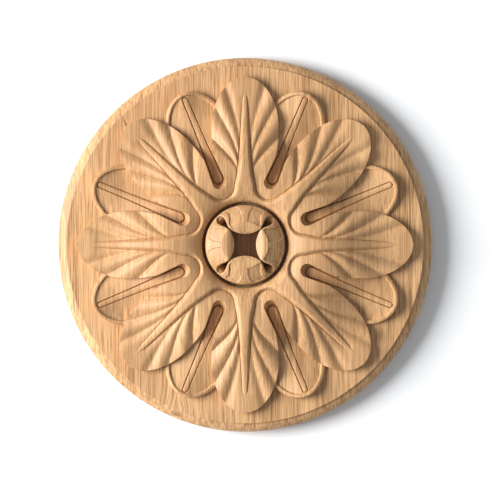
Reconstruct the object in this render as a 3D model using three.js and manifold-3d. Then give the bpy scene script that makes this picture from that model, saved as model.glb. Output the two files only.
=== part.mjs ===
import * as THREE from 'three';
import { mergeVertices } from 'three/addons/utils/BufferGeometryUtils.js';
import Module from 'manifold-3d';

const wasm = await Module();
wasm.setup();

// Sizes in millimetres. The work is drawn face up, with x across, y along the first petal
// and z out of the wall, and is turned upright at the end.
const discRadius = 100;
const plateThickness = 13;
const rimWidth = 4.6;
const rimStep = 1;
const rimDrop = 4.5;
const fieldBand = 5.8;

// Heights of the relief above the flat field of the plate.
const crestHeight = 14.8;
const toeHeight = 4.7;
const hubDrop = 7.6;
const ribRise = 2;
const lowerDip = 2.8;
const lowerTipRise = 1.8;
const slotFloorHeight = 8;
const channelDepth = 0.5;
const beadRise = 0.35;
const lipRise = 1.7;
const lipTipRise = 0.6;
const lipRoll = 0.8;
const grooveFloorHeight = 2;
const budRimHeight = 9.8;
const budEdgeDrop = 1.7;
const budCrestHeight = 15.8;
const budLipDrop = 1.9;
const budHollowDepth = 14.5;
const openingInnerDepth = 13.5;
const openingOuterDepth = 4.8;

// The carving grows with the radius that its petal tips reach. Each place below is a share of it.
const petalCount = 8;
const sepalCount = 4;
const halfPitch = Math.PI / petalCount;
const fieldRadius = discRadius - rimWidth;
const petalSink = 0.4 * plateThickness;
const carvingReach = fieldRadius - fieldBand;
const share = (part) => part * carvingReach;

const petalWidest = share(0.693);
const petalHalfWidth = share(0.2);
const petalHubAxis = share(0.413);
const petalTipAxis = carvingReach - petalWidest;
const crestRadius = share(0.436);
const toeRadius = share(0.884);
const notchRadius = share(0.297);
const notchRound = share(0.0792);
const notchSpread = share(0.0115);
const grooveOuter = share(0.2545);
const focusAcross = share(0.1016);
const focusAlong = share(0.3465);
const fadeLength = share(0.036);

const slotCentre = share(0.424);
const slotFloorHalf = share(0.033);
const slotMouth = share(0.56);
const scoopCentre = share(0.4);
const scoopRadius = share(0.0407);
const scoopInnerEnd = scoopCentre - scoopRadius;
const channelBevel = share(0.006);
const hiddenLap = share(0.01);
const lowerTip = share(0.975);
const lowerDipRadius = share(0.795);
const lipTipWidth = share(0.0234);
const lipSideWidth = share(0.0335);
const lowerHiddenTurn = THREE.MathUtils.degToRad(70);
const mouthHiddenHalf = share(0.057);
const bladeFall = 0.1;
const bladeTipFall = 0.24;

const budRadius = share(0.2365);
const budEdgeStart = share(0.1964);
const budCrestRadius = share(0.137);
const budHollowRadius = share(0.065);
const budCornerRadius = share(0.158);
const openingInner = share(0.142);
const openingOuter = share(0.227);
const openingHalf = share(0.025);

// Each flute runs along a ray from a focus beyond the midrib. angle is the ray's angle to the
// petal's axis, drop the depth below the midrib's top and steps the rows up to this ray.
const flutes = [
  { angle: 8.83, drop: 0.1, steps: 0 },
  { angle: 14.5, drop: 0.1, steps: 2 },
  { angle: 20, drop: 1.9, steps: 1 },
  { angle: 25.4, drop: 0.1, steps: 2 },
  { angle: 30.5, drop: 2, steps: 1 },
  { angle: 36.5, drop: 0.5, steps: 2 },
  { angle: 46, drop: 3.5, steps: 2 },
  { angle: 52, drop: 1.5, steps: 1 },
  { angle: 72, drop: 1.9, steps: 2 },
  { angle: 90, drop: 1.4, steps: 2 },
];
const hubSteps = 3;
const bladeParts = [0.3, 0.65, 1];

// The midribs, which join into a star. top and foot are half the widths at a distance from the
// centre, as shares of the reach, and rise is the part of the hub's rise that is left there.
const ribStops = [
  { at: 0.353, top: 0.0505, foot: 0.0646, rise: 1 },
  { at: 0.368, top: 0.0469, foot: 0.0608, rise: 1 },
  { at: 0.401, top: 0.0385, foot: 0.0525, rise: 1 },
  { at: 0.469, top: 0.0285, foot: 0.0424, rise: 0.88 },
  { at: 0.567, top: 0.0201, foot: 0.034, rise: 0.8 },
  { at: 0.686, top: 0.0151, foot: 0.0279, rise: 0.6 },
  { at: 0.806, top: 0.0112, foot: 0.0218, rise: 0.4 },
  { at: 0.87, top: 0.0084, foot: 0.0167, rise: 0.25 },
  { at: 0.894, top: 0.005, foot: 0.0089, rise: 0 },
];

// Half the slot's width at a distance from the centre, both as shares of the reach.
const slotStops = [
  { at: 0.418, half: 0.0394 },
  { at: 0.526, half: 0.0326 },
  { at: 0.627, half: 0.0271 },
  { at: 0.765, half: 0.0225 },
  { at: 0.954, half: 0.0198 },
];

const mix = (a, b, t) => a + (b - a) * t;
const clamp01 = (t) => Math.min(Math.max(t, 0), 1);
const mixPoint = (a, b, t) => ({ x: mix(a.x, b.x, t), y: mix(a.y, b.y, t) });
const polar = (radius, bearing) => ({ x: radius * Math.sin(bearing), y: radius * Math.cos(bearing) });

// The value of a key at a radius, on straight lines between stops.
function readStops(stops, radius, key) {
  const next = stops.findIndex((stop) => share(stop.at) >= radius);
  if (next <= 0) {
    return stops.at(next)[key];
  }
  const from = stops[next - 1];
  const to = stops[next];
  return mix(from[key], to[key], (radius - share(from.at)) / share(to.at - from.at));
}

// A closed block of cells. place(column, row, isTop) gives a corner's x, y and z.
function gridGeometry(columns, rows, place) {
  const geometry = new THREE.BoxGeometry(1, 1, 1, columns, rows, 1);
  const position = geometry.attributes.position;
  for (let i = 0; i < position.count; i++) {
    const column = Math.round((position.getX(i) + 0.5) * columns);
    const row = Math.round((position.getY(i) + 0.5) * rows);
    const point = place(column, row, position.getZ(i) > 0);
    position.setXYZ(i, point.x, point.y, point.z);
  }
  return geometry;
}

// A turned solid from [radius, height] points, standing along z.
function turnedGeometry(profile, segments) {
  const points = profile.map(([radius, height]) => new THREE.Vector2(radius, height));
  return new THREE.LatheGeometry(points, segments).rotateX(Math.PI / 2);
}

// The solid inside a closed geometry. Cells whose corners fall together leave no triangle.
function toManifold(geometry) {
  const bare = geometry.clone();
  bare.deleteAttribute('normal');
  bare.deleteAttribute('uv');
  const merged = mergeVertices(bare, 1e-5);
  const triangles = [];
  for (let i = 0; i < merged.index.count; i += 3) {
    const [a, b, c] = [0, 1, 2].map((k) => merged.index.getX(i + k));
    if (a !== b && b !== c && c !== a) {
      triangles.push(a, b, c);
    }
  }
  return new wasm.Manifold(new wasm.Mesh({
    numProp: 3,
    vertProperties: Float32Array.from(merged.attributes.position.array),
    triVerts: Uint32Array.from(triangles),
  }));
}

// Copies of a geometry, turned about the centre, as solids.
function around(geometry, count, firstTurn) {
  const copies = [];
  for (let i = 0; i < count; i++) {
    copies.push(toManifold(geometry.clone().rotateZ(firstTurn + (i * 2 * Math.PI) / count)));
  }
  return copies;
}

const addAll = (body, solids) => solids.reduce((sum, solid) => sum.add(solid), body);
const cutAll = (body, solids) => solids.reduce((rest, solid) => rest.subtract(solid), body);

// Height of the midribs and the star: a steep hub side, a crest and a long fall to the toe.
function crestProfile(radius) {
  if (radius < crestRadius) {
    const inward = clamp01((crestRadius - radius) / (crestRadius - grooveOuter));
    return crestHeight - hubDrop * (1 - Math.sqrt(1 - inward ** 2));
  }
  const outward = clamp01((radius - crestRadius) / (toeRadius - crestRadius));
  return mix(toeHeight, crestHeight, (1 + Math.cos(outward * Math.PI)) / 2);
}

// Valleys are sharp and ridges are round, so each stretch follows a quarter sine.
function fluteDrop(angle) {
  const next = Math.max(flutes.findIndex((flute) => flute.angle >= angle), 1);
  const from = flutes[next - 1];
  const to = flutes[next];
  const t = (angle - from.angle) / (to.angle - from.angle);
  if (from.drop > to.drop) {
    return mix(from.drop, to.drop, Math.sin((t * Math.PI) / 2));
  }
  return mix(from.drop, to.drop, 1 - Math.cos((t * Math.PI) / 2));
}

const ribTopHalf = (radius) => share(readStops(ribStops, radius, 'top'));
const ribFootHalf = (radius) => share(readStops(ribStops, radius, 'foot'));
const ribStep = (radius) => ribRise * readStops(ribStops, radius, 'rise');
const slotHalf = (radius) => share(readStops(slotStops, radius, 'half'));

// How much of the way from the rib's foot level to the blade's own level is reached.
const awayFromRib = (distance) => 1 - Math.exp(-distance / fadeLength);

// The petal's outline: an egg and the web round the hub, cut back by the slot and by the scoop
// at the slot's inner end.
function insidePetal(point) {
  const past = point.y - petalWidest;
  const axis = past > 0 ? petalTipAxis : petalHubAxis;
  const inEgg = (point.x / petalHalfWidth) ** 2 + (past / axis) ** 2 < 1;
  const along = point.x * Math.sin(halfPitch) + point.y * Math.cos(halfPitch);
  const beside = point.y * Math.sin(halfPitch) - point.x * Math.cos(halfPitch);
  const onWeb = Math.hypot(point.x, point.y) < slotCentre;
  const outsideScoop = Math.hypot(beside, along - scoopCentre) > scoopRadius;
  const inSlot = along > scoopCentre && beside < slotHalf(along);
  return (inEgg || onWeb) && outsideScoop && beside > 0 && !inSlot;
}

// Distance from a start point to where a ray leaves a region, found by halving.
function leavingDistance(start, angle, isInside) {
  let near = 0;
  let far = 2 * petalHalfWidth;
  for (let i = 0; i < 30; i++) {
    const middle = (near + far) / 2;
    if (isInside({ x: start.x + middle * Math.sin(angle), y: start.y + middle * Math.cos(angle) })) {
      near = middle;
    } else {
      far = middle;
    }
  }
  return near;
}

// The shortest ray, and the most of a ray that the rib's top and foot may take.
const shortestRay = 0.05;
const ribTopPart = 0.45;
const ribFootPart = 0.7;

// A row of the petal's right half: the axis three times, the rib's top edge and foot, and three
// points outward. Rows nearer the hub spread the first three along the ring groove.
function rayRow(degrees) {
  const angle = THREE.MathUtils.degToRad(degrees);
  const start = { x: 0, y: focusAlong + focusAcross / Math.tan(angle) };
  const length = Math.max(leavingDistance(start, angle, insidePetal), shortestRay);
  const within = (halfWidth) => (point) => point.x < halfWidth(Math.hypot(point.x, point.y));
  const top = Math.min(leavingDistance(start, angle, within(ribTopHalf)), ribTopPart * length);
  const foot = Math.min(leavingDistance(start, angle, within(ribFootHalf)), ribFootPart * length);
  const blade = bladeParts.map((part) => mix(foot, length, part));
  const distances = [0, 0, 0, top, foot, ...blade];
  return distances.map((distance, column) => {
    const x = distance * Math.sin(angle);
    const y = start.y + distance * Math.cos(angle);
    const radius = Math.hypot(x, y);
    const drop = column < 4 ? 0 : mix(ribStep(radius), fluteDrop(degrees), awayFromRib(distance - foot));
    return { x, y, z: plateThickness + crestProfile(radius) - drop };
  });
}

const lastRay = flutes[flutes.length - 1];
const lastRow = rayRow(lastRay.angle);
const seam = halfPitch + 0.0005;

// Rows nearer the hub bend round the star's notch until the last one lies along the seam.
function hubRow(t) {
  const [axis, , , top, foot] = lastRow;
  const end = lastRow[lastRow.length - 1];
  const centre = polar(notchRadius + notchRound, seam);
  const fromCentre = { x: foot.x - centre.x, y: foot.y - centre.y };
  const startBearing = Math.atan2(fromCentre.x, fromCentre.y) + 2 * Math.PI;
  const bearing = mix(startBearing, Math.PI + seam, t);
  const footArm = mix(Math.hypot(fromCentre.x, fromCentre.y), notchRound, t);
  const topArm = footArm + mix(foot.x - top.x, notchSpread, t);
  const [newFoot, newTop] = [footArm, topArm].map((arm) => {
    const spoke = polar(arm, bearing);
    return { x: centre.x + spoke.x, y: centre.y + spoke.y };
  });
  const newEnd = mixPoint(end, polar(scoopInnerEnd, seam), t);
  const outline = t === 1 ? newEnd : scoopPoint(newEnd);
  const points = [
    mixPoint(axis, polar(grooveOuter, 0), t),
    mixPoint(axis, polar(grooveOuter, seam / 2), t),
    mixPoint(axis, polar(grooveOuter, seam), t),
    newTop,
    newFoot,
    ...bladeParts.map((part) => mixPoint(newFoot, outline, part)),
  ];
  return points.map((point, column) => {
    const away = Math.hypot(point.x - newFoot.x, point.y - newFoot.y);
    const drop = column < 4 ? 0 : mix(ribRise, lastRay.drop, awayFromRib(away));
    return { ...point, z: plateThickness + crestProfile(Math.hypot(point.x, point.y)) - drop };
  });
}

// The point of the scoop's edge that lies toward a point from the scoop's centre.
function scoopPoint(point) {
  const centre = polar(scoopCentre, halfPitch);
  const distance = Math.hypot(point.x - centre.x, point.y - centre.y);
  return mixPoint(centre, point, scoopRadius / distance);
}

function petalGeometry() {
  const rows = [rayRow(flutes[0].angle)];
  flutes.slice(1).forEach((flute, i) => {
    for (let step = 1; step <= flute.steps; step++) {
      rows.push(rayRow(mix(flutes[i].angle, flute.angle, step / flute.steps)));
    }
  });
  for (let step = 1; step <= hubSteps; step++) {
    rows.push(hubRow(step / hubSteps));
  }
  const perSide = rows[0].length - 1;
  return gridGeometry(2 * perSide, rows.length - 1, (column, row, isTop) => {
    const point = rows[rows.length - 1 - row][Math.abs(column - perSide)];
    const x = column < perSide ? -point.x : point.x;
    return { x, y: point.y, z: isTop ? point.z : plateThickness - petalSink };
  });
}

// The axis of a lower petal falls from the slot's floor, dips and rises again to its tip.
function lowerProfile(radius) {
  if (radius < lowerDipRadius) {
    const inward = clamp01((lowerDipRadius - radius) / (lowerDipRadius - scoopCentre));
    return mix(lowerDip, slotFloorHeight, (1 - Math.cos(inward * Math.PI)) / 2);
  }
  const outward = (radius - lowerDipRadius) / (lowerTip - lowerDipRadius);
  return lowerDip + lowerTipRise * outward ** 2;
}

// Height inside the slot: a flat floor, with a slope up to the web round its inner end.
function slotHeight(x, y) {
  const fromCentre = Math.hypot(x, Math.max(slotCentre - y, 0));
  const slope = (fromCentre - slotFloorHalf) / (slotCentre - scoopInnerEnd - slotFloorHalf);
  const web = crestProfile(scoopInnerEnd) - ribRise - 0.05;
  const nearScoop = clamp01((slotMouth - y) / (slotMouth - slotCentre));
  return mix(lowerProfile(y), web, clamp01(slope) * nearScoop);
}

function bladeHeight(x, y) {
  const towardTip = clamp01((y - petalWidest) / (0.7 * (lowerTip - petalWidest)));
  const fall = mix(bladeFall, bladeTipFall, towardTip);
  return lowerProfile(y) + channelDepth - fall * Math.max(x - slotHalf(y), 0);
}

// Rings of the lower petal's rolled lip, each as a share of the lip's width from the outline.
const lipRings = [0, 0.48, 1];
const bladeRows = [0.93, 0.87, 0.795, 0.71, 0.64, 0.59];
const slotRows = [0.54, 0.48, 0.43, 0.405, 0.38, 0.3625];

// A row of the right half of a lower petal. Rows bow like the outline, down to the slot's mouth.
function lowerRow(axisY, hidden, kind) {
  const fractions = [0, 0, 0, 0.36, 0.68, 1];
  return fractions.map((fraction, column) => {
    const groove = [0, slotHalf(axisY), slotHalf(axisY) + channelBevel];
    const x = column < 3 ? groove[column] : mix(groove[2], hidden.x, fraction);
    const bow = Math.sin(lowerHiddenTurn) * (x / hidden.x);
    const sag = (1 - Math.sqrt(1 - bow ** 2)) / (1 - Math.cos(lowerHiddenTurn));
    const y = mix(axisY, hidden.y, sag);
    const isFloor = column < 2 && kind === 'blade';
    const bead = column === 0 ? 2 * beadRise * clamp01((y - lowerDipRadius) / share(0.1)) : 0;
    let height = isFloor ? lowerProfile(y) + bead : bladeHeight(x, y);
    if (kind === 'lip') {
      height += mix(lipTipRise, lipRise, x / hidden.x);
    }
    if (kind === 'edge') {
      height += mix(lipTipRise, lipRise, x / hidden.x) - lipRoll;
    }
    return { x, y, z: plateThickness + height };
  });
}

// Half the width of what shows of the slot's floor, up to the wall of the petal beside it.
function slotOpenHalf(y) {
  const scoop = scoopRadius ** 2 - (y - scoopCentre) ** 2;
  const straight = y > slotCentre ? slotHalf(y) : 0;
  return Math.max(Math.sqrt(Math.max(scoop, 0)), straight, share(0.002));
}

// A row across the slot: out to the petal's wall, then on and down inside the petal.
function slotRow(y) {
  const open = slotOpenHalf(y);
  const points = [0, 0.6, 1].map((fraction) => ({
    x: fraction * open,
    y,
    z: plateThickness + slotHeight(fraction * open, y),
  }));
  const wall = points[2].z;
  points.push(
    { x: open + 0.7 * hiddenLap, y, z: wall - 0.1 * ribRise },
    { x: open + hiddenLap, y, z: wall - 2 * ribRise },
    { x: open + 1.3 * hiddenLap, y, z: wall - 2 * ribRise },
  );
  return points;
}

function lowerPetalGeometry() {
  const tipAxis = lowerTip - petalWidest;
  const lipEnd = (ring) => ({
    x: (petalHalfWidth - ring * lipSideWidth) * Math.sin(lowerHiddenTurn),
    y: petalWidest + (tipAxis - ring * lipTipWidth) * Math.cos(lowerHiddenTurn),
  });
  const lipAxis = (ring) => lowerTip - ring * lipTipWidth;
  const inner = lipRings[2];
  const rows = [
    lowerRow(lipAxis(lipRings[0]), lipEnd(lipRings[0]), 'edge'),
    lowerRow(lipAxis(lipRings[1]), lipEnd(lipRings[1]), 'lip'),
    lowerRow(lipAxis(inner), lipEnd(inner), 'foot'),
  ];
  const mouth = { x: mouthHiddenHalf, y: slotMouth };
  for (const part of bladeRows) {
    const t = (share(part) - slotMouth) / (lipAxis(inner) - slotMouth);
    rows.push(lowerRow(share(part), mixPoint(mouth, lipEnd(inner), t), 'blade'));
  }
  for (const part of slotRows) {
    rows.push(slotRow(share(part)));
  }
  const endRow = slotRow(scoopInnerEnd);
  rows.push(endRow.map((point) => ({ x: point.x, y: point.y - 0.3 * hiddenLap, z: endRow[4].z })));
  const perSide = rows[0].length - 1;
  return gridGeometry(2 * perSide, rows.length - 1, (column, row, isTop) => {
    const point = rows[rows.length - 1 - row][Math.abs(column - perSide)];
    const x = column < perSide ? -point.x : point.x;
    return { x, y: point.y, z: isTop ? point.z : plateThickness - petalSink };
  });
}

// Height of the sepals' backs: straight down from the crest, then round over to the rim.
function budHeight(radius) {
  const outward = (radius - budCrestRadius) / (budRadius - budCrestRadius);
  const edge = clamp01((radius - budEdgeStart) / (budRadius - budEdgeStart));
  const straight = mix(budCrestHeight, budRimHeight + budEdgeDrop, outward);
  return plateThickness + straight - budEdgeDrop * (1 - Math.sqrt(1 - edge ** 2));
}

// The bud is a dome of four sepals round a square hollow with bowed-in sides. Its profile is
// drawn in bands: 0 to 1 the hollow's floor, 1 its edge, 2 the crest and 3 the rim.
function budGeometry() {
  const crest = plateThickness + budCrestHeight;
  const hollowFloor = crest - budHollowDepth;
  const floorBand = 0.999;
  const hollowSharpness = 7;
  const crestSharpness = 4.5;
  const profile = [[0, plateThickness - petalSink], [3, plateThickness - petalSink]];
  profile.push(...[3, 2.93, 2.8, 2.6, 2.3, 2].map((band) => [band, crest]));
  profile.push([1.6, crest - 0.3 * budLipDrop], [1, crest - budLipDrop]);
  profile.push([floorBand, hollowFloor], [0, hollowFloor]);
  const geometry = turnedGeometry(profile, 40);
  const position = geometry.attributes.position;
  for (let i = 0; i < position.count; i++) {
    const band = Math.hypot(position.getX(i), position.getY(i));
    const bearing = Math.atan2(position.getX(i), position.getY(i));
    const corner = Math.abs(Math.sin((sepalCount * bearing) / 2));
    const hollow = mix(budHollowRadius, budCornerRadius - share(0.006), corner ** hollowSharpness);
    const crestLine = mix(budCrestRadius, budCornerRadius, corner ** crestSharpness);
    let radius = hollow * band;
    if (band > 1) {
      radius = mix(hollow, crestLine, Math.min(band - 1, 1));
    }
    if (band > 2) {
      radius = mix(crestLine, budRadius, band - 2);
    }
    const point = polar(radius, bearing);
    const onSepal = position.getZ(i) > plateThickness && band > mix(floorBand, 1, 0.5);
    const fall = onSepal ? crest - budHeight(Math.max(radius, crestLine)) : 0;
    position.setXYZ(i, point.x, point.y, position.getZ(i) - fall);
  }
  return geometry;
}

// A drop-shaped opening between two sepals, wider toward the rim.
function openingGeometry() {
  const rows = 7;
  return gridGeometry(2, rows, (column, row, isTop) => {
    const t = row / rows;
    const half = openingHalf * Math.sin(Math.PI * (0.04 + 0.93 * t) ** 1.9) + share(0.002);
    const depth = mix(openingInnerDepth, openingOuterDepth, t ** 2);
    const height = budCrestHeight + (isTop ? petalSink : -depth);
    return { x: (column - 1) * half, y: mix(openingInner, openingOuter, t), z: plateThickness + height };
  });
}

function plateGeometry() {
  const start = THREE.MathUtils.degToRad(30);
  const steps = 3;
  const profile = [[0, 0], [discRadius, 0]];
  for (let step = 0; step <= steps; step++) {
    const turn = mix(Math.PI / 2, start, step / steps);
    const out = (Math.sin(turn) - Math.sin(start)) / (1 - Math.sin(start));
    const fall = (Math.cos(start) - Math.cos(turn)) / Math.cos(start);
    profile.push([fieldRadius + rimWidth * out, plateThickness - rimStep - rimDrop * fall]);
  }
  profile.push([fieldRadius, plateThickness], [0, plateThickness]);
  return turnedGeometry(profile, 64);
}

// The low floor of the ring groove between the star and the bud.
function grooveFloorGeometry() {
  const low = plateThickness - petalSink;
  const high = plateThickness + grooveFloorHeight;
  const radius = grooveOuter + share(0.004);
  return turnedGeometry([[0, low], [radius, low], [radius, high], [0, high]], 32);
}

function makeRosette() {
  let body = toManifold(plateGeometry()).add(toManifold(grooveFloorGeometry()));
  body = addAll(body, around(petalGeometry(), petalCount, 0));
  body = addAll(body, around(lowerPetalGeometry(), petalCount, halfPitch));
  const openings = around(openingGeometry(), sepalCount, Math.PI / sepalCount);
  return body.add(cutAll(toManifold(budGeometry()), openings));
}

function toGeometry(solid) {
  const mesh = solid.getMesh();
  const geometry = new THREE.BufferGeometry();
  const places = Float32Array.from(mesh.vertProperties);
  const corners = Uint32Array.from(mesh.triVerts);
  geometry.setAttribute('position', new THREE.BufferAttribute(places, 3));
  geometry.setIndex(new THREE.BufferAttribute(corners, 1));
  return geometry;
}

const oak = new THREE.MeshStandardMaterial({ color: 0xc79a6c, roughness: 0.55, metalness: 0 });
const rosette = new THREE.Mesh(toGeometry(makeRosette()), oak);
rosette.name = 'carved_rosette';
rosette.rotation.x = Math.PI / 2;

const group = new THREE.Group();
group.add(rosette);

export default group;
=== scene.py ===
import math

import bpy
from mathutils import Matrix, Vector


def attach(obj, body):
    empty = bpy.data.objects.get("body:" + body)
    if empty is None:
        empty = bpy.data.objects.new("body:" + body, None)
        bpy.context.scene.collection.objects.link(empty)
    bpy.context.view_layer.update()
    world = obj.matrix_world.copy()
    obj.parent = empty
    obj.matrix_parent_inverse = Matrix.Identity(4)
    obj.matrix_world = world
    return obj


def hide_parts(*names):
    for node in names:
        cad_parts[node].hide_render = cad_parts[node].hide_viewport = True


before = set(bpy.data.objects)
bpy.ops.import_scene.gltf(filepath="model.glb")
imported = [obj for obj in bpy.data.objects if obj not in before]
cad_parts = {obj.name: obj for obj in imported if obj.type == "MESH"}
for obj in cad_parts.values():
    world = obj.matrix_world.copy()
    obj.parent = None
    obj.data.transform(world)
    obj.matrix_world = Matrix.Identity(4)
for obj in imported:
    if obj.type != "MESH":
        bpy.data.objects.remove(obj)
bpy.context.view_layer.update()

bpy.context.scene.view_settings.view_transform = "Standard"


# Camera: square on to the wall, from well back so that it hardly widens the near parts.
cameraSetup = {
    "distance": 2.6,
    "pictureWidth": 0.2622,  # what the frame spans at the rim, in metres
    "aimX": -0.00005,
    "aimZ": -0.0001,
    "rimDepth": -0.008,
    "sensor": 36,
    "clip": (0.05, 20),
}

bpy.ops.object.select_all(action="DESELECT")
bpy.ops.object.camera_add(
    location=(cameraSetup["aimX"], cameraSetup["rimDepth"] - cameraSetup["distance"], cameraSetup["aimZ"]),
    rotation=(math.pi / 2, 0, 0),
)
camera = bpy.context.object
camera.data.sensor_width = cameraSetup["sensor"]
camera.data.lens = cameraSetup["sensor"] * cameraSetup["distance"] / cameraSetup["pictureWidth"]
camera.data.clip_start, camera.data.clip_end = cameraSetup["clip"]
bpy.context.scene.camera = camera
print("camera placed")


# The carving is drawn lying on its back in millimetres: x across, y up the grain, z out of the wall.
# It is stood up and brought to metres once it is whole.
blank = {
    "radius": 100,
    "thickness": 13,
    "rimWidth": 4.6,
    "rimStep": 1,
    "rimDrop": 4.5,
    "rimStart": 30,  # the turn at which the quarter round leaves the step, in degrees
    "rimRows": 14,
    "fieldBand": 5.8,  # from the petal tips out to the step
    "backRound": 0.3,
    "stepRound": 0.12,
    "sink": 0.4,  # how deep the carved blocks reach into the blank, as a share of it
    "edges": 280,
}

halfPitch = math.pi / 8
reach = blank["radius"] - blank["rimWidth"] - blank["fieldBand"]  # out to the petal tips
thick = blank["thickness"]
sunk = thick - blank["sink"] * thick
seamGap = 0.0005  # points closer than this are merged

petal = {
    "widest": 0.693 * reach,  # how far out it is widest
    "halfWidth": 0.2 * reach,
    "hubAxis": 0.413 * reach,  # from there to the egg's inner end
    "crestRadius": 0.436 * reach,
    "crestHeight": 14.8,
    "toeRadius": 0.884 * reach,
    "toeHeight": 4.7,
    "hubDrop": 7.6,  # how much lower it is at the ring groove
    "grooveOuter": 0.2545 * reach,
    "focusAcross": 0.1016 * reach,  # the flutes' rays all pass this far across and along
    "focusAlong": 0.3465 * reach,
    "fade": 0.042 * reach,  # the width over which the flutes set in beside the midrib
    "rowsPerStep": 4,
    "hubRows": 16,
    "edgeRound": 0.24,
    "edgeShare": 0.2,  # the most of a ray that its rounded edge takes
    "topShare": 0.45,  # and the most that the midrib's top and its foot take
    "footShare": 0.7,
    "shortestRay": 0.05,
    "sweepSlack": 1.5,
    "sweepFade": 2.2,
    "valleyRound": 0.65,
    "seamOverlap": 0.0004,  # in radians, so that neighbours overlap
    "halvings": 30,
}
# each flute: the angle of its ray to the petal's axis, its depth, and how many steps of rows lead up to it
flutes = [
    (8.83, 0.1, 0), (14.5, 0.1, 3), (20, 1.9, 1), (25.4, 0.1, 2), (30.5, 2, 1),
    (36.5, 0.5, 2), (46, 3.5, 2), (52, 1.5, 1), (72, 1.9, 2), (90, 1.4, 2),
]
# how far the rays bend down beside the midrib, like the veins of a leaf
veinSweep = [(8.83, 0), (14.5, 4.5), (20, 6), (25.4, 5.8), (36.5, 4.6), (46, 3.2), (72, 0.8), (90, 0)]
# the midribs, which join into a star: distance out, then half the width or the height there
rib = {
    "topHalf": [
        (31.6, 4.15), (33, 3.8), (35.9, 3.15), (38.5, 2.75), (42, 2.35), (50.8, 1.75), (61.5, 1.35),
        (72.2, 1), (77.6, 0.75), (80.1, 0.45),
    ],
    "footHalf": [
        (31.6, 5.8), (33, 5.5), (35.9, 4.8), (38.5, 4.3), (42, 3.8), (50.8, 3.1), (61.5, 2.55),
        (72.2, 1.95), (77.6, 1.5), (80.1, 0.8),
    ],
    "rise": [(36, 2.3), (50.8, 1.75), (61.5, 1.2), (72.2, 0.8), (78, 0.5), (80.1, 0)],
    "crease": 0.5,
    "notchRadius": 0.297 * reach,
    "notchRound": 7.1,
    "notchSpread": 0.0163 * reach,
}
hubRise = rib["rise"][0][1]
slot = {
    "centre": 0.424 * reach,
    "end": 0.949 * reach,
    "grooveHalf": 0.42,
    "grooveHubHalf": 0.6,
    "grooveDepth": 0.9,
    "grooveHubDepth": 1.4,
    "mouth": 0.56 * reach,
    "scoopCentre": 0.4 * reach,
    "scoopRadius": 0.0407 * reach,
    "floorHeight": 8,
    "openLength": 0.3 * reach,  # from the scoop out to where the strip lies open on both sides
    "leastHalf": 0.002 * reach,
    "webGap": 0.6,  # from the web's top down to the slot's rim
    "innerShare": 0.6,  # the least share of the floor that lies between the two thin grooves
    "hidden": (0.4, 1.2),  # how far the floor runs on under the petals
    "hiddenDrop": 0.1,  # how much it falls there at first, over this share
    "hiddenShare": 0.1,
}
scoopInnerEnd = slot["scoopCentre"] - slot["scoopRadius"]
# half the strip's width, to the middle of the thin groove on each side of it
stripEdge = [
    (0.418 * reach, 2.95), (0.526 * reach, 2.42), (0.627 * reach, 1.98),
    (0.765 * reach, 1.68), (0.896 * reach, 1.52), (0.949 * reach, 1.5),
]


def mix(a, b, t):
    return a + (b - a) * t


def clamp(t):
    return min(max(t, 0), 1)


def smooth(t):
    t = clamp(t)
    return t * t * (3 - 2 * t)


def polar(radius, bearing):
    return radius * math.sin(bearing), radius * math.cos(bearing)


def mixPoint(a, b, t):
    return mix(a[0], b[0], t), mix(a[1], b[1], t)


def readCurve(stops, at):  # straight lines between (place, value) stops
    if at <= stops[0][0]:
        return stops[0][1]
    for (a, low), (b, high) in zip(stops, stops[1:]):
        if at <= b:
            return mix(low, high, (at - a) / (b - a))
    return stops[-1][1]


def selectOnly(piece):
    bpy.ops.object.select_all(action="DESELECT")
    piece.select_set(True)
    bpy.context.view_layer.objects.active = piece


def closeMesh(piece):  # seams and poles are merged, and faces turned outwards
    selectOnly(piece)
    bpy.ops.object.mode_set(mode="EDIT")
    bpy.ops.mesh.select_all(action="SELECT")
    bpy.ops.mesh.remove_doubles(threshold=seamGap)
    bpy.ops.mesh.normals_make_consistent(inside=False)
    bpy.ops.object.mode_set(mode="OBJECT")
    mesh = piece.data
    mesh.calc_loop_triangles()
    volume = 0
    for triangle in mesh.loop_triangles:
        a, b, c = (mesh.vertices[corner].co for corner in triangle.vertices)
        volume += a.dot(b.cross(c)) / 6
    if volume < 0:  # all of them were turned inwards
        mesh.flip_normals()


def carveBlock(name, columns, rows, place):
    # a grid pulled down into a block; place gives a corner of it its x, y and z
    bpy.ops.object.select_all(action="DESELECT")
    bpy.ops.mesh.primitive_grid_add(x_subdivisions=columns, y_subdivisions=rows, size=1)
    block = bpy.context.object
    block.name = name
    bpy.ops.object.mode_set(mode="EDIT")
    bpy.ops.mesh.select_all(action="SELECT")
    bpy.ops.mesh.extrude_region_move(TRANSFORM_OT_translate={"value": (0, 0, -1)})
    bpy.ops.object.mode_set(mode="OBJECT")
    for vertex in block.data.vertices:
        column = round((vertex.co.x + 0.5) * columns)
        row = round((vertex.co.y + 0.5) * rows)
        vertex.co = place(column, row, vertex.co.z > -0.5)
    closeMesh(block)
    return block


def combine(body, tool, operation):
    selectOnly(body)
    cut = body.modifiers.new("cut", "BOOLEAN")
    cut.operation = operation
    cut.solver = "MANIFOLD"
    cut.object = tool
    bpy.ops.object.modifier_apply(modifier="cut")
    bpy.data.objects.remove(tool)


def turnedCopy(piece, turn):
    selectOnly(piece)
    bpy.ops.object.duplicate()
    copy = bpy.context.object
    copy.rotation_euler.z = -turn
    bpy.ops.object.transform_apply(location=False, rotation=True, scale=False)
    return copy


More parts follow.
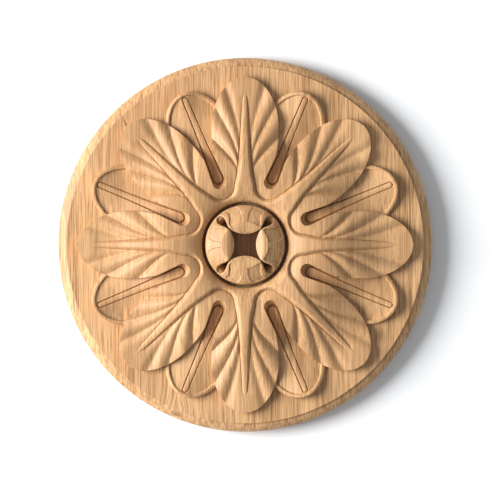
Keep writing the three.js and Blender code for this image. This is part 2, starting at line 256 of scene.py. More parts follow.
# Main petals, each with its midrib, its part of the star and its part of the web.
def crestProfile(radius):
    if radius < petal["crestRadius"]:
        inward = clamp((petal["crestRadius"] - radius) / (petal["crestRadius"] - petal["grooveOuter"]))
        return petal["crestHeight"] - petal["hubDrop"] * (1 - math.sqrt(1 - inward ** 2))
    outward = clamp((radius - petal["crestRadius"]) / (petal["toeRadius"] - petal["crestRadius"]))
    return mix(petal["toeHeight"], petal["crestHeight"], (1 + math.cos(outward * math.pi)) / 2)


def fluteDrop(angle):  # sharp valleys and round ridges
    for (a, low, _), (b, high, _) in zip(flutes, flutes[1:]):
        if angle <= b:
            t = (angle - a) / (b - a)
            if low > high:
                return mix(low, high, math.sin(t * math.pi / 2))
            return mix(low, high, 1 - math.cos(t * math.pi / 2))
    return flutes[-1][1]


def softDrop(angle):
    low = max(angle - petal["valleyRound"], flutes[0][0])
    return (fluteDrop(low) + 2 * fluteDrop(angle) + fluteDrop(angle + petal["valleyRound"])) / 4


def alongStrip(radius):  # 0 at the scoop, 1 where the strip is open to view on both sides
    return clamp((radius - slot["centre"]) / slot["openLength"])


def grooveHalf(radius):
    return mix(slot["grooveHubHalf"], slot["grooveHalf"], alongStrip(radius))


def slotHalf(radius):
    return readCurve(stripEdge, radius) + grooveHalf(radius)


def insidePetal(x, y):
    past = y - petal["widest"]
    axis = reach - petal["widest"] if past > 0 else petal["hubAxis"]
    inEgg = (x / petal["halfWidth"]) ** 2 + (past / axis) ** 2 < 1
    along = x * math.sin(halfPitch) + y * math.cos(halfPitch)
    beside = y * math.sin(halfPitch) - x * math.cos(halfPitch)
    onWeb = math.hypot(x, y) < slot["centre"]
    outsideScoop = math.hypot(beside, along - slot["scoopCentre"]) > slot["scoopRadius"]
    inSlot = along > slot["scoopCentre"] and beside < slotHalf(along)
    return (inEgg or onWeb) and outsideScoop and beside > 0 and not inSlot


def leavingDistance(startY, angle, isInside):
    near, far = 0, 2 * petal["halfWidth"]
    for _ in range(petal["halvings"]):
        middle = (near + far) / 2
        if isInside(middle * math.sin(angle), startY + middle * math.cos(angle)):
            near = middle
        else:
            far = middle
    return near


# the columns of a petal's half: the midrib's top and side, the blade and its rounded edge
ribParts = [0, 0.3, 0.55, 0.72, 0.82, 0.89, 0.95, 1]
ribCrown = [0, 0.004, 0.016, 0.04, 0.065, 0.095, 0.13, 0.17]
# where the top's columns end at the ring groove: shares of the turn to the seam and of the way out to the notch
spokes = [(0, 0), (0.33, 0), (0.67, 0), (1, 0), (1, 0.25), (1, 0.5), (1, 0.75), (1, 1)]
sideParts = [0.35, 0.7, 1]
sideDrops = [0.45, 0.85, 1]
bladeParts = [0.035, 0.1, 0.2, 0.32, 0.44, 0.57, 0.7, 0.84, 1]
edgeOffsets = [0.28, 0.1, 0]
edgeDrops = [0.1, 0.42, 1]
footColumn = len(ribParts) + len(sideParts) - 1
petalColumns = footColumn + len(bladeParts) + len(edgeOffsets)


def awayFromRib(distance):
    return 1 - math.exp(-max(distance, 0) / petal["fade"])


def petalPoint(x, y, drop):
    return x, y, thick + crestProfile(math.hypot(x, y)) - drop


def rayRow(degrees):  # from the midrib out to the petal's edge
    angle = math.radians(degrees)
    startY = petal["focusAlong"] + petal["focusAcross"] / math.tan(angle)
    length = max(leavingDistance(startY, angle, insidePetal), petal["shortestRay"])
    top = leavingDistance(startY, angle, lambda x, y: x < readCurve(rib["topHalf"], math.hypot(x, y)))
    foot = leavingDistance(startY, angle, lambda x, y: x < readCurve(rib["footHalf"], math.hypot(x, y)))
    top = min(top, petal["topShare"] * length)
    foot = min(foot, petal["footShare"] * length)
    rounding = min(petal["edgeRound"], petal["edgeShare"] * (length - foot))
    sweep = readCurve(veinSweep, degrees)
    end = length * math.sin(angle), startY + length * math.cos(angle)
    topY = startY + top * math.cos(angle) - sweep
    footY = startY + foot * math.cos(angle) - sweep
    topX = min(readCurve(rib["topHalf"], topY), top * math.sin(angle) + petal["sweepSlack"])
    footX = min(readCurve(rib["footHalf"], footY), foot * math.sin(angle) + petal["sweepSlack"])
    points = []
    for part, crown in zip(ribParts, ribCrown):
        points.append((topX * part, mix(startY - sweep, topY, part), crown))
    for part, drop in zip(sideParts, sideDrops):
        points.append((mix(topX, footX, part), mix(topY, footY, part), mix(ribCrown[-1], 1, drop)))
    creaseColumn = len(points) - 1
    bladeWidth = end[0] - footX
    unswept = footY + sweep
    bladeLength = length - foot
    atEdge = math.exp(-bladeWidth / petal["sweepFade"])
    outwards = [(part * (1 - rounding / bladeLength), 0) for part in bladeParts]
    outwards += [(1 - rounding * offset / bladeLength, drop) for offset, drop in zip(edgeOffsets, edgeDrops)]
    for part, edgeShare in outwards:
        left = math.exp(-part * bladeWidth / petal["sweepFade"]) - part * atEdge
        points.append((mix(footX, end[0], part), mix(unswept, end[1], part) - sweep * left, edgeShare))
    row = []
    for column, (x, y, share) in enumerate(points):
        step = readCurve(rib["rise"], math.hypot(x, y))
        if column > creaseColumn:
            away = awayFromRib(math.hypot(x - footX, y - footY) * math.sin(angle))
            drop = mix(step, softDrop(degrees), away) + share * rounding
        else:
            drop = step * share
        if column == creaseColumn:
            drop += rib["crease"] * clamp(2 * step / hubRise)
        row.append(petalPoint(x, y, drop))
    return row


seam = halfPitch + petal["seamOverlap"]
lastRow = rayRow(flutes[-1][0])


def hubRow(t):  # rows bend round the star's notch until the last one lies along the seam
    top, foot, end = lastRow[len(ribParts) - 1], lastRow[footColumn], lastRow[-1]
    arcX, arcY = polar(rib["notchRadius"] + rib["notchRound"], seam)
    startBearing = math.atan2(foot[0] - arcX, foot[1] - arcY) % (2 * math.pi)
    arm = mix(math.hypot(foot[0] - arcX, foot[1] - arcY), rib["notchRound"], t)
    armX, armY = polar(arm, mix(startBearing, math.pi + seam, t))
    newFoot = arcX + armX, arcY + armY
    sideX, sideY = polar(mix(foot[0] - top[0], rib["notchSpread"], t), mix(1.5 * math.pi, math.pi + seam, t))
    newTop = newFoot[0] + sideX, newFoot[1] + sideY
    newEnd = mixPoint(end, polar(scoopInnerEnd, seam), t)
    if t < 1:
        centre = polar(slot["scoopCentre"], halfPitch)
        distance = math.hypot(newEnd[0] - centre[0], newEnd[1] - centre[1])
        newEnd = mixPoint(centre, newEnd, slot["scoopRadius"] / distance)
    rounding = petal["edgeRound"]
    webWidth = math.hypot(newEnd[0] - newFoot[0], newEnd[1] - newFoot[1])
    notchTop = rib["notchRadius"] - rib["notchSpread"]
    straight = mixPoint(top, polar(notchTop, seam), t)  # the top's edge, had it gone straight to the seam
    bulge = newTop[0] - straight[0], newTop[1] - straight[1]
    row = []
    for part, crown, (turned, out) in zip(ribParts, ribCrown, spokes):
        spoke = polar(mix(petal["grooveOuter"], notchTop, out), seam * turned)
        x, y = mixPoint((part * top[0], mix(lastRow[0][1], top[1], part)), spoke, t)
        row.append(petalPoint(x + part * bulge[0], y + part * bulge[1], hubRise * crown * mix(1, out, t)))
    for part, drop in zip(sideParts, sideDrops):
        crease = rib["crease"] if part == 1 else 0
        sideDrop = hubRise * mix(ribCrown[-1], 1, drop) + crease
        row.append(petalPoint(*mixPoint(newTop, newFoot, part), sideDrop))
    outwards = [((webWidth - rounding) * part, 0) for part in bladeParts]
    for offset, drop in zip(edgeOffsets, edgeDrops):
        outwards.append((webWidth - rounding * offset, drop * rounding))
    for distance, edgeDrop in outwards:
        webDrop = mix(hubRise, flutes[-1][1], awayFromRib(distance))
        row.append(petalPoint(*mixPoint(newFoot, newEnd, distance / webWidth), webDrop + edgeDrop))
    return row


def makePetal():
    rows = [rayRow(flutes[0][0])]
    for (a, _, _), (b, _, steps) in zip(flutes, flutes[1:]):
        count = steps * petal["rowsPerStep"]
        rows += [rayRow(mix(a, b, (step + 1) / count)) for step in range(count)]
    rows += [hubRow((step + 1) / petal["hubRows"]) for step in range(petal["hubRows"])]
    rows.reverse()

    def place(column, row, isTop):
        x, y, z = rows[row][abs(column - petalColumns)]
        return -x if column < petalColumns else x, y, z if isTop else sunk

    return carveBlock("petal", 2 * petalColumns, len(rows) - 1, place)


# Lower petals, each with its slot, the long strip up its middle and the rolled lip.
lower = {
    "tip": 0.975 * reach,
    "dipRadius": 0.795 * reach,
    "dip": 2.8,
    "tipRise": 1.8,
    "hiddenTurn": math.radians(70),
    "mouthHidden": 0.057 * reach,
    "lipTipWidth": 2.1,
    "lipSideWidth": 3,
    "lipTipRise": 0.6,
    "lipSideRise": 1.7,
    "lipRoll": 0.8,
    "lipCrest": 0.6,  # where its crest lies, from the edge in, and how far its inner slope spreads
    "lipSlope": 0.3,
    "bladeRise": 0.3,
    "beadRise": 0.36,
    "fall": 0.1,  # how fast the blade falls away from the strip, at its widest and near the tip
    "tipFall": 0.24,
    "tipFallShare": 0.7,
    "tipSunk": 0.7,  # how much of bladeRise is lost beyond the widest part
    "tipSunkLength": 0.12 * reach,
    "tipBand": 2.2,  # round the strip's end, where the rows lie closer together
    "tipRows": 16,
    "bladeEnd": 0.59 * reach,
    "bladeRows": 20,
    "slotEnd": 0.545 * reach,
    "slotRows": 26,
    "buried": 0.003 * reach,
}
# shares across: over the lip from the edge to its foot, over half the strip, its thin groove and the blade
lipParts = [0, 0.06, 0.15, 0.28, 0.44, 0.6, 0.74, 0.84, 0.94, 1]
stripParts = [0, 0.2, 0.4, 0.58, 0.74, 0.88, 1]
grooveParts = [-0.5, 0, 0.5, 1]
outerParts = [0.02, 0.08, 0.17, 0.28, 0.41, 0.55, 0.7, 0.85, 1]
lowerColumns = len(stripParts) + len(grooveParts) + len(outerParts) - 1


def lowerProfile(radius):
    if radius < lower["dipRadius"]:
        inward = clamp((lower["dipRadius"] - radius) / (lower["dipRadius"] - slot["scoopCentre"]))
        return mix(lower["dip"], slot["floorHeight"], (1 - math.cos(inward * math.pi)) / 2)
    outward = (radius - lower["dipRadius"]) / (lower["tip"] - lower["dipRadius"])
    return lower["dip"] + lower["tipRise"] * outward ** 2


def grooveDrop(away, radius):  # away is the distance from the strip's middle line
    edge = readCurve(stripEdge, radius)
    depth = mix(slot["grooveHubDepth"], slot["grooveDepth"], alongStrip(radius))
    return depth * clamp(1 - abs(away - edge) / grooveHalf(radius))


def bladeHeight(x, y):
    roundEnd = slot["end"] - stripEdge[-1][1]
    away = math.hypot(x, max(y - roundEnd, 0))
    edge = readCurve(stripEdge, y)
    towardTip = clamp((y - petal["widest"]) / (lower["tipFallShare"] * (lower["tip"] - petal["widest"])))
    height = lowerProfile(y) - grooveDrop(away, min(y, roundEnd))
    if away > edge:
        sunkStrip = 1 - lower["tipSunk"] * clamp((y - petal["widest"]) / lower["tipSunkLength"])
        fall = mix(lower["fall"], lower["tipFall"], towardTip)
        return height + lower["bladeRise"] * sunkStrip - fall * max(x - slotHalf(y), 0)
    return height + lower["beadRise"] * (1 - (away / edge) ** 2)


def lowerRow(axisY, hidden, lipPart):
    edge = readCurve(stripEdge, axisY)
    half = grooveHalf(axisY)
    xs = [(edge - half) * part for part in stripParts] + [edge + half * part for part in grooveParts]
    xs += [mix(edge + half, hidden[0], part) for part in outerParts]
    row = []
    for x in xs:
        bow = math.sin(lower["hiddenTurn"]) * (x / hidden[0])
        sag = (1 - math.sqrt(max(1 - bow ** 2, 0))) / (1 - math.cos(lower["hiddenTurn"]))
        y = mix(axisY, hidden[1], sag)
        height = bladeHeight(x, y)
        if lipPart is not None:
            crest = mix(lower["lipTipRise"], lower["lipSideRise"], x / hidden[0])
            if lipPart > lower["lipCrest"]:
                height += crest * smooth((1 - lipPart) / lower["lipSlope"])
            else:
                roll = 1 - math.sqrt(1 - (1 - lipPart / lower["lipCrest"]) ** 2)
                height += crest - lower["lipRoll"] * roll
        row.append((x, y, thick + height))
    return row


def slotRow(y):  # the slot's floor, and on out inside the petals beside it
    scoop = math.sqrt(max(slot["scoopRadius"] ** 2 - (y - slot["scoopCentre"]) ** 2, 0))
    straight = slotHalf(y) if y > slot["scoopCentre"] else 0
    openHalf = max(scoop, straight, slot["leastHalf"])
    half = grooveHalf(y)
    inner = max(openHalf - 2 * half, slot["innerShare"] * openHalf)
    xs = [inner * part for part in stripParts]
    xs += [mix(inner, openHalf, (part + 1) / 2) for part in grooveParts]
    row = []
    for x in xs:
        away = math.hypot(x, max(slot["centre"] - y, 0))
        edge = readCurve(stripEdge, y)
        rim = slot["centre"] - scoopInnerEnd
        towardHub = clamp((slot["mouth"] - y) / (slot["mouth"] - slot["centre"]))
        slope = clamp((away - edge) / (rim - edge)) * towardHub
        web = crestProfile(scoopInnerEnd) - flutes[-1][1] - slot["webGap"]
        row.append((x, y, thick + mix(lowerProfile(y), web, slope) - grooveDrop(away, y) * (1 - slope)))
    wall = row[-1][2]
    for part in outerParts:
        drop = slot["hiddenDrop"] if part < slot["hiddenShare"] else 2 * hubRise
        row.append((openHalf + mix(*slot["hidden"], part), y, wall - drop))
    return row


def makeLowerPetal():
    tipAxis = lower["tip"] - petal["widest"]
    turn = lower["hiddenTurn"]

    def ringAxis(part):
        return lower["tip"] - lower["lipTipWidth"] * part

    def ringEnd(part):
        x = (petal["halfWidth"] - lower["lipSideWidth"] * part) * math.sin(turn)
        return x, petal["widest"] + (tipAxis - lower["lipTipWidth"] * part) * math.cos(turn)

    rows = [lowerRow(ringAxis(part), ringEnd(part), part) for part in lipParts]
    mouth = lower["mouthHidden"], slot["mouth"]
    belowEnd = slot["end"] - lower["tipBand"]
    axisPlaces = []
    for step in range(lower["tipRows"]):
        axisPlaces.append(mix(ringAxis(1), belowEnd, (step + 1) / lower["tipRows"]))
    for step in range(lower["bladeRows"]):
        axisPlaces.append(mix(belowEnd, lower["bladeEnd"], (step + 1) / lower["bladeRows"]))
    for axisY in axisPlaces:
        t = (axisY - slot["mouth"]) / (ringAxis(1) - slot["mouth"])
        rows.append(lowerRow(axisY, mixPoint(mouth, ringEnd(1), t), None))
    for step in range(lower["slotRows"] + 1):
        left = (1 - step / lower["slotRows"]) ** 2
        rows.append(slotRow(mix(scoopInnerEnd, lower["slotEnd"], left)))
    buriedHeight = rows[-1][-1][2]
    rows.append([(x, y - lower["buried"], buriedHeight) for x, y, z in rows[-1]])
    rows.reverse()

    def place(column, row, isTop):
        x, y, z = rows[row][abs(column - lowerColumns)]
        return -x if column < lowerColumns else x, y, z if isTop else sunk

    return carveBlock("lowerPetal", 2 * lowerColumns, len(rows) - 1, place)


# Bud: four sepals round a hollow square with bowed-in sides.
bud = {
    "radius": 0.2365 * reach,
    "crestHeight": 15.8,
    "hollowCentre": 19.91,  # each side of the hollow is part of a circle round here
    "hollowRadius": 14.08,
    "hollowDepth": 14.5,
    "hollowTurn": math.radians(40.5),
    "floorRing": 0.6,
    "domeSlope": 0.5,
    "crestApex": 12.31,
    "crestBow": 0.049,
    "crestCorner": 9.4,
    "lensLeast": 0.15,
    "lipDrop": 1.6,
    "lipRound": 0.12,
    "humpPeak": 0.74,  # the lens's highest place from the hollow out, and its small extra rise there
    "humpRise": 0.11,
    "humpFall": (0.66, 0.34),  # where it starts to sink again, and over how much
    "panelDepth": 0.45,
    "panelRim": 20.4,
    "tongueSoft": 0.3,  # how wide the edges of the panels are
    "sideSoft": 0.35,
    "rimSoft": 0.4,
    "rollRise": 0.35,
    "rollSoft": 0.5,
    "rollEnd": 19,
    "rollFade": 2,
    "openingDrop": 0.6,  # the rounded edge along the openings
    "openingSoft": 0.8,
    "edgeStart": 17.6,
    "edgeDrop": 1.7,
    "flankCrowd": 1.1,
    "flankShare": 0.975,
    "rimShare": 0.993,
    "rimDrops": (0.12, 0.45),
    "wedgeColumns": 40,
    "lensRows": 11,
    "flankRows": 36,
}
tongueEdge = [(12.3, 1.25), (15.5, 1.6), (17.1, 2.1), (18.5, 2.8), (19.6, 3.75), (20.45, 5.35), (21, 7)]
panelEdge = [
    (9.8, 7.5), (10.6, 8.35), (11.8, 8.4), (13.2, 8.35), (14.45, 8.45), (15.5, 8.7),
    (16.6, 9.2), (17.1, 9.8), (17.7, 10.55), (18.6, 12),
]
# half the width of the slit and the drop-shaped opening between two sepals, along the diagonal
openingEdge = [
    (8.5, 0.3), (12.6, 0.4), (13.8, 0.62), (15, 1.15), (16.2, 1.65), (17.4, 2.05), (18.4, 2.2),
    (19.2, 2.05), (19.9, 1.55), (20.3, 0.9), (20.45, 0.2),
]
# how deep each opening goes below the crest, and the part of its length over which that changes
opening = {
    "inner": 14.5,
    "outer": 5.7,
    "slopeStart": 0.3,
    "slopeLength": 0.6,
    "rows": 40,
    "columns": 4,
    "above": 4,
}


def domeHeight(radius):
    edge = clamp((radius - bud["edgeStart"]) / (bud["radius"] - bud["edgeStart"]))
    return -bud["domeSlope"] * (radius - bud["crestApex"]) - bud["edgeDrop"] * (1 - math.sqrt(1 - edge ** 2))


def flankHeight(x, y):  # x is beside the sepal's axis, y along it
    radius = math.hypot(x, y)
    tongue = readCurve(tongueEdge, y)
    side = readCurve(panelEdge, y)
    crestLine = bud["crestApex"] - bud["crestBow"] * x ** 2
    inPanel = smooth((x - tongue) / bud["tongueSoft"] + 0.5) * smooth((side - x) / bud["sideSoft"] + 0.5)
    belowCrest = smooth((y - crestLine) / bud["sideSoft"])
    inPanel *= smooth((bud["panelRim"] - radius) / bud["rimSoft"] + 0.5) * belowCrest
    along = (x + y) / math.sqrt(2)
    fromOpening = (y - x) / math.sqrt(2) - readCurve(openingEdge, along)
    rollLeft = 1 - smooth((radius - bud["rollEnd"]) / bud["rollFade"])
    roll = smooth((x - side) / bud["rollSoft"] + 0.5) * bud["rollRise"] * rollLeft
    openingRim = bud["openingDrop"] * (1 - clamp(fromOpening / bud["openingSoft"])) ** 2
    return domeHeight(radius) - bud["panelDepth"] * inPanel + roll - openingRim


def budRows(part):  # one column of the bud, from the middle of the hollow's floor to under the rim
    crest = thick + bud["crestHeight"]
    phi = bud["hollowTurn"] * part
    innerX = bud["hollowRadius"] * math.sin(phi)
    innerY = bud["hollowCentre"] - bud["hollowRadius"] * math.cos(phi)
    crestX = bud["crestCorner"] * part
    arcY = bud["hollowCentre"] - math.sqrt(bud["hollowRadius"] ** 2 - crestX ** 2)
    crestY = max(bud["crestApex"] - bud["crestBow"] * crestX ** 2, arcY + bud["lensLeast"])
    if part == 1:  # on the diagonal that two sepals share
        innerX = innerY = (innerX + innerY) / 2
        crestX = crestY = (crestX + crestY) / 2
    rim = polar(bud["radius"], math.pi / 4 * part)
    fullWidth = bud["crestApex"] - bud["hollowCentre"] + bud["hollowRadius"]
    share = clamp(math.hypot(crestX - innerX, crestY - innerY) / fullWidth)
    crestZ = domeHeight(math.hypot(crestX, crestY))
    floor = crest - bud["hollowDepth"]
    ring = bud["floorRing"]
    points = [(0, 0, floor), (innerX * ring, innerY * ring, floor), (innerX, innerY, floor)]
    for step in range(bud["lensRows"] + 1):
        s = step / bud["lensRows"]
        x, y = mixPoint((innerX, innerY), (crestX, crestY), s)
        toPeak = s / bud["humpPeak"]
        hump = math.sin(clamp(toPeak) * math.pi / 2) + bud["humpRise"] * smooth(toPeak)
        hump -= bud["humpRise"] * smooth((s - bud["humpFall"][0]) / bud["humpFall"][1])
        height = crestZ - bud["lipDrop"] * share * (1 - hump)
        if step == 0:
            height -= bud["lipRound"]
        points.append((x, y, crest + height))
    for step in range(1, bud["flankRows"] + 1):
        outward = (step / bud["flankRows"]) ** bud["flankCrowd"] * bud["flankShare"]
        x, y = mixPoint((crestX, crestY), rim, outward)
        points.append((x, y, crest + flankHeight(x, y)))
    edge = points[-1][2]
    points.append((rim[0] * bud["rimShare"], rim[1] * bud["rimShare"], edge - bud["rimDrops"][0]))
    points.append((rim[0], rim[1], edge - bud["rimDrops"][1]))
    points.append((rim[0], rim[1], sunk))
    points.append((0, 0, sunk))
    return points


def makeBud():
    wedge = bud["wedgeColumns"]
    columns = [budRows(step / wedge) for step in range(wedge + 1)]
    rows = len(columns[0]) - 1
    bpy.ops.object.select_all(action="DESELECT")
    bpy.ops.mesh.primitive_grid_add(x_subdivisions=8 * wedge, y_subdivisions=rows, size=1)
    piece = bpy.context.object
    piece.name = "bud"
    for vertex in piece.data.vertices:
        column = round((vertex.co.x + 0.5) * 8 * wedge)
        row = round((vertex.co.y + 0.5) * rows)
        sepal, place = divmod(column + wedge, 2 * wedge)
        offset = place - wedge
        x, y, z = columns[abs(offset)][row]
        turn = sepal * math.pi / 2
        x = -x if offset < 0 else x
        vertex.co = (
            x * math.cos(turn) + y * math.sin(turn),
            y * math.cos(turn) - x * math.sin(turn),
            z,
        )
    closeMesh(piece)
    return piece


def makeOpening():
    rows, across = opening["rows"], opening["columns"]
    first, last = openingEdge[0][0], openingEdge[-1][0]
    top = thick + bud["crestHeight"] + opening["above"]

    def place(column, row, isTop):
        t = row / rows
        along = mix(first, last, t)
        side = column / across * 2 - 1
        outward = smooth((t - opening["slopeStart"]) / opening["slopeLength"])
        depth = mix(opening["inner"], opening["outer"], outward)
        floor = thick + bud["crestHeight"] - depth
        return readCurve(openingEdge, along) * side, along, top if isTop else floor

    return carveBlock("opening", across, rows, place)


# Blank: turned from a profile that is spun round the middle.
def makeBlank():
    start = math.radians(blank["rimStart"])
    fieldRadius = blank["radius"] - blank["rimWidth"]
    profile = [(0, 0), (blank["radius"] - blank["backRound"], 0), (blank["radius"], blank["backRound"])]
    for step in range(blank["rimRows"] + 1):
        turn = mix(math.pi / 2, start, step / blank["rimRows"])
        out = (math.sin(turn) - math.sin(start)) / (1 - math.sin(start))
        fall = (math.cos(start) - math.cos(turn)) / math.cos(start)
        height = thick - blank["rimStep"] - blank["rimDrop"] * fall
        profile.append((fieldRadius + blank["rimWidth"] * out, height))
    stepRound = blank["stepRound"]
    profile += [(fieldRadius, thick - stepRound), (fieldRadius - stepRound, thick), (0, thick)]
    bpy.ops.object.select_all(action="DESELECT")
    bpy.ops.mesh.primitive_grid_add(x_subdivisions=blank["edges"], y_subdivisions=len(profile) - 1, size=1)
    piece = bpy.context.object
    piece.name = "blank"
    for vertex in piece.data.vertices:
        bearing = (vertex.co.x + 0.5) * 2 * math.pi
        radius, height = profile[round((vertex.co.y + 0.5) * (len(profile) - 1))]
        vertex.co = (*polar(radius, bearing), height)
    closeMesh(piece)
    return piece


# Floor of the ring groove: a low disc that stands half in the blank.
grooveFloor = {"edges": 96, "underPetals": 0.35, "depth": 4}


def makeGrooveFloor():
    bpy.ops.object.select_all(action="DESELECT")
    bpy.ops.mesh.primitive_cylinder_add(
        vertices=grooveFloor["edges"],
        radius=petal["grooveOuter"] + grooveFloor["underPetals"],
        depth=grooveFloor["depth"],
        location=(0, 0, thick),
    )
    floor = bpy.context.object
    bpy.ops.object.transform_apply(location=True, rotation=False, scale=False)
    return floor


sharpAngle = 38
rosette = makeBlank()
combine(rosette, makeGrooveFloor(), "UNION")
for maker, firstTurn in ((makePetal, 0), (makeLowerPetal, halfPitch)):
    pattern = maker()
    print(pattern.name, "carved,", len(pattern.data.polygons), "faces")
    for place in range(8):
        combine(rosette, turnedCopy(pattern, firstTurn + place * 2 * halfPitch), "UNION")
    bpy.data.objects.remove(pattern)
budPiece = makeBud()
drop = makeOpening()
for place in range(4):
    combine(budPiece, turnedCopy(drop, (place + 0.5) * math.pi / 2), "DIFFERENCE")
bpy.data.objects.remove(drop)
print("bud carved,", len(budPiece.data.polygons), "faces")
combine(rosette, budPiece, "UNION")

rosette.name = "carvedRosette"
rosette.data.name = "carvedRosette"
selectOnly(rosette)
rosette.rotation_euler.x = math.pi / 2
rosette.scale = (0.001, 0.001, 0.001)  # millimetres to metres
bpy.ops.object.transform_apply(location=True, rotation=True, scale=True)
bpy.ops.object.shade_smooth_by_angle(angle=math.radians(sharpAngle))
print("rosette joined,", len(rosette.data.polygons), "faces")


# Shader maths written out as expressions.
class Shade:
    def __init__(self, socket):
        self.socket = socket

    def __add__(self, other):
        return mathNode("ADD", self, other)

    def __radd__(self, other):
        return mathNode("ADD", other, self)

    def __sub__(self, other):
        return mathNode("SUBTRACT", self, other)

    def __rsub__(self, other):
        return mathNode("SUBTRACT", other, self)

    def __mul__(self, other):
        return mathNode("MULTIPLY", self, other)

    def __rmul__(self, other):
        return mathNode("MULTIPLY", other, self)

    def __truediv__(self, other):
        return mathNode("DIVIDE", self, other)

    def __pow__(self, other):
        return mathNode("POWER", self, other)


tree = None


def addNode(kind, settings=None, values=None, out=0):
    node = tree.nodes.new(kind)
    for name, value in (settings or {}).items():
        setattr(node, name, value)
    for name, value in (values or {}).items():
        socket = node.inputs[name]
        if isinstance(value, Shade):
            tree.links.new(value.socket, socket)
        else:
            socket.default_value = value
    return Shade(node.outputs[out])


def mathNode(operation, first, second=0.0):
    return addNode("ShaderNodeMath", {"operation": operation}, {0: first, 1: second})


def ramp(value, low, high):  # 0 below low and 1 above high, with soft ends
    return addNode(
        "ShaderNodeMapRange",
        {"interpolation_type": "SMOOTHSTEP"},
        {"Value": value, "From Min": low, "From Max": high},
    )


def apart(vector, axis):
    return addNode("ShaderNodeSeparateXYZ", {}, {"Vector": vector}, out="XYZ".index(axis))


def mixColor(factor, first, second):
    return addNode("ShaderNodeMix", {"data_type": "RGBA"}, {0: factor, 6: first, 7: second}, out=2)


def newMaterial(name):
    global tree
    material = bpy.data.materials.new(name)
    material.use_nodes = True
    tree = material.node_tree
    tree.nodes.clear()
    return material


def finishMaterial(shader):
    output = tree.nodes.new("ShaderNodeOutputMaterial")
    tree.links.new(shader.socket, output.inputs["Surface"])


oak = {
    "pale": (0.7, 0.425, 0.208, 1),
    "honey": (0.6, 0.345, 0.162, 1),
    "brown": (0.3, 0.148, 0.06, 1),
    "pore": (0.17, 0.08, 0.034, 1),
    # painted shade: a dark grey-brown laid on the floors of the bud's hollow and ring groove where shade falls,
    # and how strongly it is laid on
    "paintedShadeColor": (0.12, 0.095, 0.07, 1),
    "paintedHollowShade": 0.3,
    "evenness": 0.36,  # the carving's grain is drawn towards one tone, the next line's
    "carvedDark": 0.62,
    "poreDark": 0.45,
    "carvedPores": 0.2,
    "knotX": -0.0362,
    "knotZ": -0.0895,
    "knotWidth": 0.006,
    "knotLength": 0.009,
    "gloss": 0.3,
    "bump": 0.16,
    "bumpDistance": 0.0003,
    "depthStretch": 0.3,
    "broadMix": (0.35, 0.65),
    "poreMix": (0.6, 0.68),
    "poreBump": (0.6, 0.72),
    "fibreBump": 0.6,
    "roughness": 0.44,
    "fibreRoughness": 0.12,
    # heights above the back and distances from the middle, in metres, between which the finish and the painted
    # shade in the hollows change
    "fieldLevel": (0.0165, 0.0135),
    "backLevel": (0.008, 0.012),
    "hollowLevel": (0.0225, 0.0175),
    "hollowReach": (0.0234, 0.0226),
}
# each layer of the grain: how often it changes across and along, its detail, roughness and offset
grain = {
    "broad": (14, 4, 2, 0.5, (0, 0, 0)),
    "bands": (180, 5, 2, 0.6, (3, 1, 0)),
    "fibres": (1250, 22, 2, 0.65, (7, 2, 1)),
    "fine": (2500, 50, 1, 0.5, (1, 5, 4)),
    "pores": (1250, 70, 1, 0.4, (2, 9, 3)),
}
# how much a layer darkens the wood, and the noise values between which it does
darkening = {
    "bands": (0.22, 0.42, 0.62),
    "fibres": (0.38, 0.43, 0.6),
    "fine": (0.4, 0.42, 0.6),
}


def oakMaterial():
    material = newMaterial("oak")
    place = addNode("ShaderNodeTexCoord", out=3)
    # a small knot low on the left, which the fibres run round
    across, along = apart(place, "X") - oak["knotX"], apart(place, "Z") - oak["knotZ"]
    away = (across / oak["knotWidth"]) ** 2 + (along / oak["knotLength"]) ** 2
    eye = mathNode("EXPONENT", -1 * away)
    pushed = addNode("ShaderNodeCombineXYZ", {}, {"X": across * eye})
    around = addNode("ShaderNodeVectorMath", {"operation": "SUBTRACT"}, {0: place, 1: pushed})

    # the grain runs up the object, so every layer is long in z
    def layer(name):
        across, along, detail, roughness, offset = grain[name]
        scale = (across, oak["depthStretch"] * across, along)
        stretched = addNode("ShaderNodeMapping", {}, {"Vector": around, "Location": offset, "Scale": scale})
        values = {"Vector": stretched, "Scale": 1.0, "Detail": detail, "Roughness": roughness}
        return addNode("ShaderNodeTexNoise", {}, values)

    def darkened(name, noise):
        share, low, high = darkening[name]
        return share * ramp(noise, low, high)

    fibres, pores = layer("fibres"), layer("pores")
    tone = mixColor(ramp(layer("broad"), *oak["broadMix"]), oak["honey"], oak["pale"])
    dark = darkened("bands", layer("bands")) + darkened("fibres", fibres) + darkened("fine", layer("fine"))
    # the grain shows most on the flat field, and the carving is more even and a little darker
    height = -1 * apart(place, "Y")
    even = 1 - ramp(height, *oak["fieldLevel"])
    dark = dark + oak["evenness"] * even * (oak["carvedDark"] - dark)
    tone = mixColor(dark, tone, oak["brown"])
    poreShare = ramp(pores, *oak["poreMix"]) * (oak["poreDark"] - oak["carvedPores"] * even)
    tone = mixColor(poreShare, tone, oak["pore"])
    # painted shade: the floors of the bud's hollow and of the groove round it are painted a dark grey-brown for
    # the shade that falls deep in them
    radius = (apart(place, "X") ** 2 + apart(place, "Z") ** 2) ** 0.5
    low = ramp(height, *oak["hollowLevel"]) * ramp(height, *oak["backLevel"])
    paintedHollowShade = low * ramp(radius, *oak["hollowReach"])
    tone = mixColor(oak["paintedHollowShade"] * paintedHollowShade, tone, oak["paintedShadeColor"])
    poreBump = ramp(pores, *oak["poreBump"])
    relief = 1 - (oak["fibreBump"] * fibres + (1 - oak["fibreBump"]) * poreBump)
    bumpValues = {"Height": relief, "Strength": oak["bump"], "Distance": oak["bumpDistance"]}
    bump = addNode("ShaderNodeBump", {}, bumpValues)
    shader = addNode(
        "ShaderNodeBsdfPrincipled",
        {},
        {
            "Base Color": tone,
            "Roughness": oak["roughness"] + oak["fibreRoughness"] * fibres,
            "Specular IOR Level": oak["gloss"],
            "Normal": bump,
        },
    )
    finishMaterial(shader)
    return material


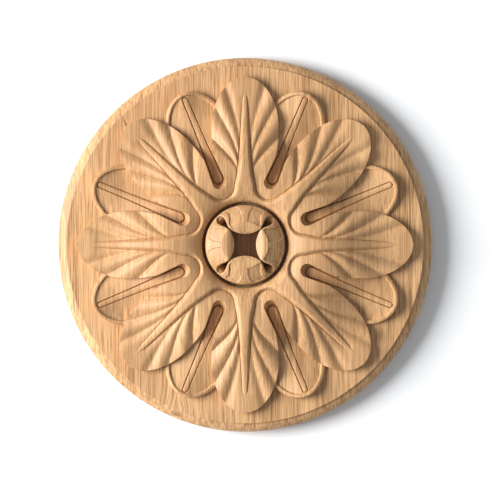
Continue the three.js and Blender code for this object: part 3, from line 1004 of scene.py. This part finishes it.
rosette.data.materials.clear()
rosette.data.materials.append(oakMaterial())
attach(rosette, "root")
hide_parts("carved_rosette")
print("oak finish on")


# Pale wall behind, with a hole that the disc covers. From behind it isn't seen, so the flat back shows.
wallSetup = {
    "size": 6.0,
    "hole": 0.0993,
    "edges": 128,
    "gap": 0.0002,  # behind the disc's back
    "color": (0.85, 0.85, 0.85, 1),
    "speck": 60.0,
    "roughness": 0.85,
    "speckRoughness": 0.05,
    "gloss": 0.1,
}


def makeWall():
    bpy.ops.object.select_all(action="DESELECT")
    bpy.ops.mesh.primitive_circle_add(
        vertices=wallSetup["edges"],
        radius=wallSetup["hole"],
        fill_type="NOTHING",
        location=(0, wallSetup["gap"], 0),
        rotation=(math.pi / 2, 0, 0),
    )
    wall = bpy.context.object
    wall.name = "wall"
    bpy.ops.object.mode_set(mode="EDIT")
    bpy.ops.mesh.select_all(action="SELECT")
    bpy.ops.mesh.extrude_edges_move()
    bpy.ops.transform.resize(value=(wallSetup["size"] / 2 / wallSetup["hole"],) * 3)
    bpy.ops.mesh.select_all(action="SELECT")
    bpy.ops.mesh.normals_make_consistent(inside=False)
    bpy.ops.object.mode_set(mode="OBJECT")
    bpy.ops.object.transform_apply(location=True, rotation=True, scale=True)
    if wall.data.polygons[0].normal.y > 0:  # it faces the room
        wall.data.flip_normals()
    material = newMaterial("wallPaint")
    behind = addNode("ShaderNodeNewGeometry", out=6)
    place = addNode("ShaderNodeTexCoord", out=3)
    speck = addNode("ShaderNodeTexNoise", {}, {"Vector": place, "Scale": wallSetup["speck"]})
    paint = addNode(
        "ShaderNodeBsdfPrincipled",
        {},
        {
            "Base Color": wallSetup["color"],
            "Roughness": wallSetup["roughness"] + wallSetup["speckRoughness"] * speck,
            "Specular IOR Level": wallSetup["gloss"],
        },
    )
    clear = addNode("ShaderNodeBsdfTransparent")
    finishMaterial(addNode("ShaderNodeMixShader", {}, {0: behind, 1: paint, 2: clear}))
    wall.data.materials.append(material)


makeWall()


# Light: one big soft lamp from the left and a little above, and a dim even sky.
lampSetup = {
    "distance": 1.6,
    "elevation": 31.5,  # above the wall
    "above": 4,  # turned up from the left
    "size": 1.1,
    "power": 60,
    "sky": (0.94, 1.0, 1.06, 1),
    "skyStrength": 0.4,
}


def makeLights():
    elevation = math.radians(lampSetup["elevation"])
    above = math.radians(lampSetup["above"])
    toLamp = Vector((
        -math.cos(elevation) * math.cos(above),
        -math.sin(elevation),
        math.cos(elevation) * math.sin(above),
    ))
    bpy.ops.object.select_all(action="DESELECT")
    bpy.ops.object.light_add(type="AREA", location=toLamp * lampSetup["distance"])
    lamp = bpy.context.object
    lamp.name = "leftLamp"
    lamp.data.shape = "DISK"
    lamp.data.size = lampSetup["size"]
    lamp.data.energy = lampSetup["power"]
    lamp.rotation_euler = toLamp.to_track_quat("Z", "Y").to_euler()
    world = bpy.data.worlds.new("sky")
    world.use_nodes = True
    background = world.node_tree.nodes["Background"]
    background.inputs["Color"].default_value = lampSetup["sky"]
    background.inputs["Strength"].default_value = lampSetup["skyStrength"]
    bpy.context.scene.world = world


makeLights()
print("wall and lights set")
